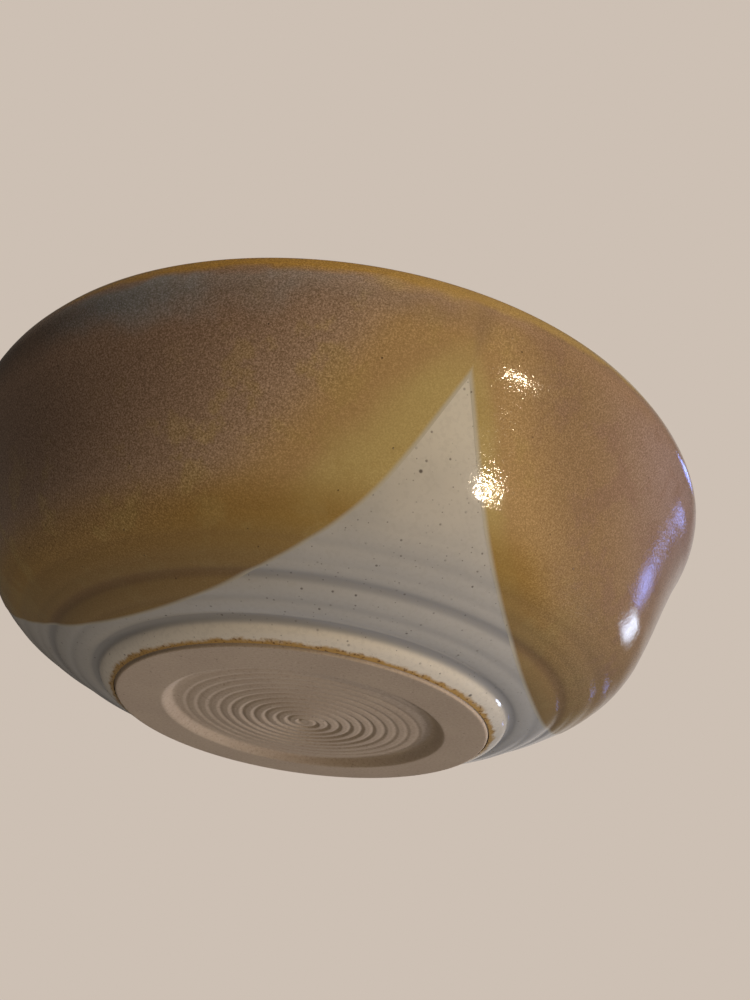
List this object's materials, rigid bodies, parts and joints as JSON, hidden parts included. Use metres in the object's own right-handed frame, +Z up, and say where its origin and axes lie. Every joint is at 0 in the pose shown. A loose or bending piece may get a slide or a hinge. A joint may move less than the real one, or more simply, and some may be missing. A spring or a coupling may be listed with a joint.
{
  "type": "yarn bowl",
  "caption": "Wheel-thrown stoneware bowl that holds a ball of yarn and guides the strand out through a curled slot in its wall.",
  "frame": {"origin": "centre of the foot ring's resting face", "axes": "+Z up out of the bowl's mouth, +Y towards the yarn slot"},
  "size_m": [0.164, 0.164, 0.0584],
  "materials": {
    "stoneware": "bare fired clay, smooth and matt with fine specks",
    "white_glaze": "glossy speckled off-white glaze",
    "ochre_glaze": "glossy mottled ochre glaze, amber where it breaks over edges"
  },
  "bodies": {
    "root": {"stoneware_body": "stoneware", "outer_base_glaze": "white_glaze", "liner_glaze": "white_glaze", "ochre_dip_left": "ochre_glaze", "ochre_dip_right": "ochre_glaze", "ochre_dip_back": "ochre_glaze"}
  },
  "joints": []
}
